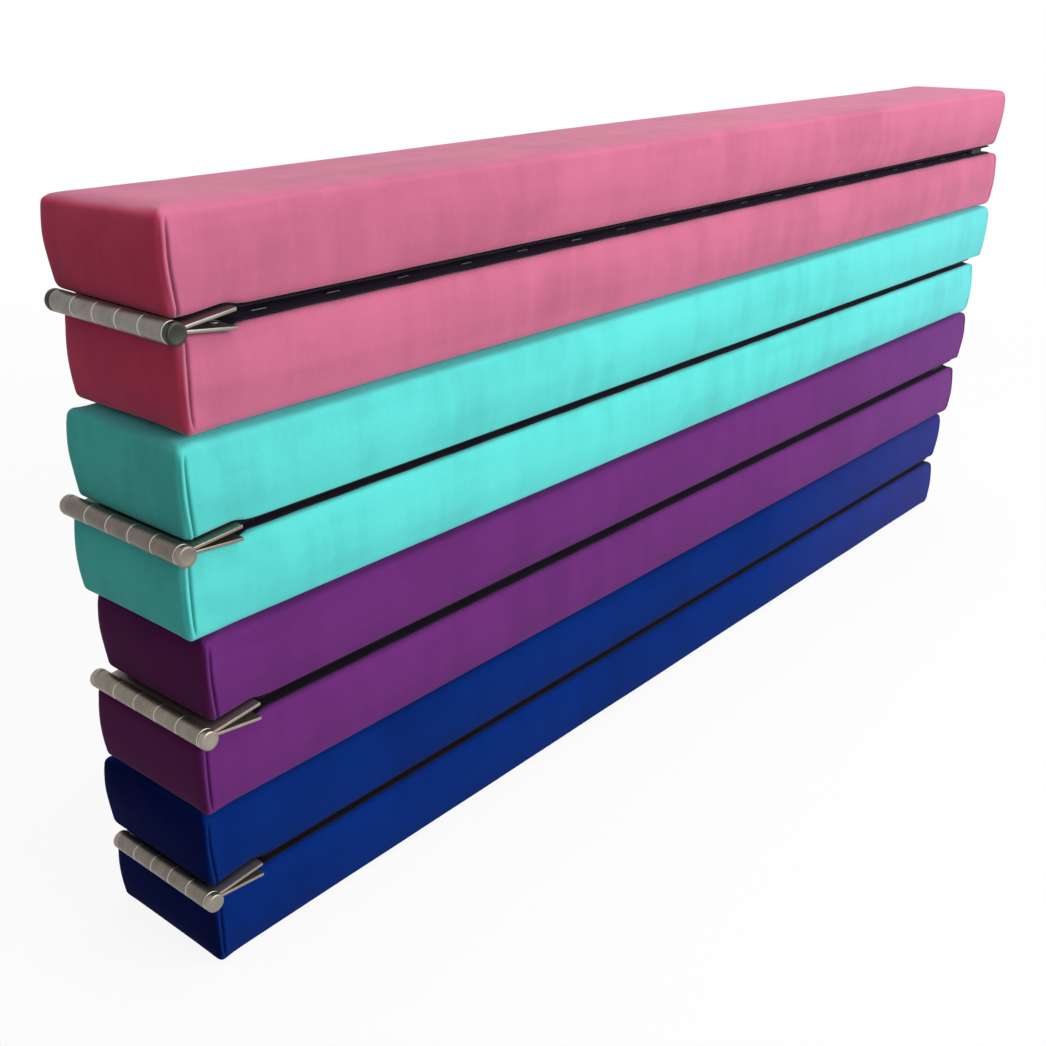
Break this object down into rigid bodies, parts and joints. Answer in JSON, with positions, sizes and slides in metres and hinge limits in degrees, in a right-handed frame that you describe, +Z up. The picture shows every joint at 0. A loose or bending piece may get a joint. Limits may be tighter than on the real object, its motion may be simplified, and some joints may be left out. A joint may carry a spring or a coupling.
{
  "type": "folding balance beam",
  "caption": "Stack of suede-covered folding floor balance beams, each folded sole to sole on a full-width butt hinge at its end.",
  "frame": {"origin": "middle of the flat play face of the lowest half, which rests on the floor", "axes": "+X along the beams away from the hinges, -Y to the side that the picture shows, +Z up the stack"},
  "size_m": [1.0685, 0.118, 0.4585],
  "materials": {
    "blue_suede": "matte suede",
    "purple_suede": "matte suede",
    "turquoise_suede": "matte suede",
    "pink_suede": "matte suede",
    "foam": "closed-cell foam",
    "wood": "planed pine",
    "sole_cloth": "matte woven cloth",
    "rubber": "matte",
    "nickel": "brushed nickel plate"
  },
  "bodies": {
    "blue_lower": {"blue_lower_cover": "blue_suede", "blue_lower_foam": "foam", "blue_lower_board": "wood", "blue_lower_sole": "sole_cloth", "blue_lower_foot": "rubber", "blue_lower_hinge_leaf": "nickel", "blue_hinge_pin": "nickel"},
    "blue_upper": {"blue_upper_cover": "blue_suede", "blue_upper_foam": "foam", "blue_upper_board": "wood", "blue_upper_sole": "sole_cloth", "blue_upper_foot": "rubber", "blue_upper_hinge_leaf": "nickel"},
    "purple_lower": {"purple_lower_cover": "purple_suede", "purple_lower_foam": "foam", "purple_lower_board": "wood", "purple_lower_sole": "sole_cloth", "purple_lower_foot": "rubber", "purple_lower_hinge_leaf": "nickel", "purple_hinge_pin": "nickel"},
    "purple_upper": {"purple_upper_cover": "purple_suede", "purple_upper_foam": "foam", "purple_upper_board": "wood", "purple_upper_sole": "sole_cloth", "purple_upper_foot": "rubber", "purple_upper_hinge_leaf": "nickel"},
    "turquoise_lower": {"turquoise_lower_cover": "turquoise_suede", "turquoise_lower_foam": "foam", "turquoise_lower_board": "wood", "turquoise_lower_sole": "sole_cloth", "turquoise_lower_foot": "rubber", "turquoise_lower_hinge_leaf": "nickel", "turquoise_hinge_pin": "nickel"},
    "turquoise_upper": {"turquoise_upper_cover": "turquoise_suede", "turquoise_upper_foam": "foam", "turquoise_upper_board": "wood", "turquoise_upper_sole": "sole_cloth", "turquoise_upper_foot": "rubber", "turquoise_upper_hinge_leaf": "nickel"},
    "pink_lower": {"pink_lower_cover": "pink_suede", "pink_lower_foam": "foam", "pink_lower_board": "wood", "pink_lower_sole": "sole_cloth", "pink_lower_foot": "rubber", "pink_lower_hinge_leaf": "nickel", "pink_hinge_pin": "nickel"},
    "pink_upper": {"pink_upper_cover": "pink_suede", "pink_upper_foam": "foam", "pink_upper_board": "wood", "pink_upper_sole": "sole_cloth", "pink_upper_foot": "rubber", "pink_upper_hinge_leaf": "nickel"}
  },
  "joints": [
    {"name": "blue_fold", "type": "hinge", "parent": "blue_lower", "child": "blue_upper", "pos_m": [-0.5275, 0, 0.05675], "axis": [0, -1, 0], "range_deg": [0, 180]},
    {"name": "purple_lift_off", "type": "slide", "parent": "blue_upper", "child": "purple_lower", "axis": [0, 0, 1], "range_m": [0, 0.6]},
    {"name": "purple_fold", "type": "hinge", "parent": "purple_lower", "child": "purple_upper", "pos_m": [-0.5237, -0.0053, 0.17145], "axis": [0, -1, 0], "range_deg": [0, 168]},
    {"name": "turquoise_lift_off", "type": "slide", "parent": "purple_upper", "child": "turquoise_lower", "axis": [0, 0, 1], "range_m": [0, 0.25]},
    {"name": "turquoise_fold", "type": "hinge", "parent": "turquoise_lower", "child": "turquoise_upper", "pos_m": [-0.5279, -0.008, 0.2859], "axis": [0, -1, 0], "range_deg": [0, 178]},
    {"name": "pink_lift_off", "type": "slide", "parent": "turquoise_upper", "child": "pink_lower", "axis": [0, 0, 1], "range_m": [0, 0.1]},
    {"name": "pink_fold", "type": "hinge", "parent": "pink_lower", "child": "pink_upper", "pos_m": [-0.5207, -0.0078, 0.40035], "axis": [0, -1, 0], "range_deg": [0, 180]}
  ]
}
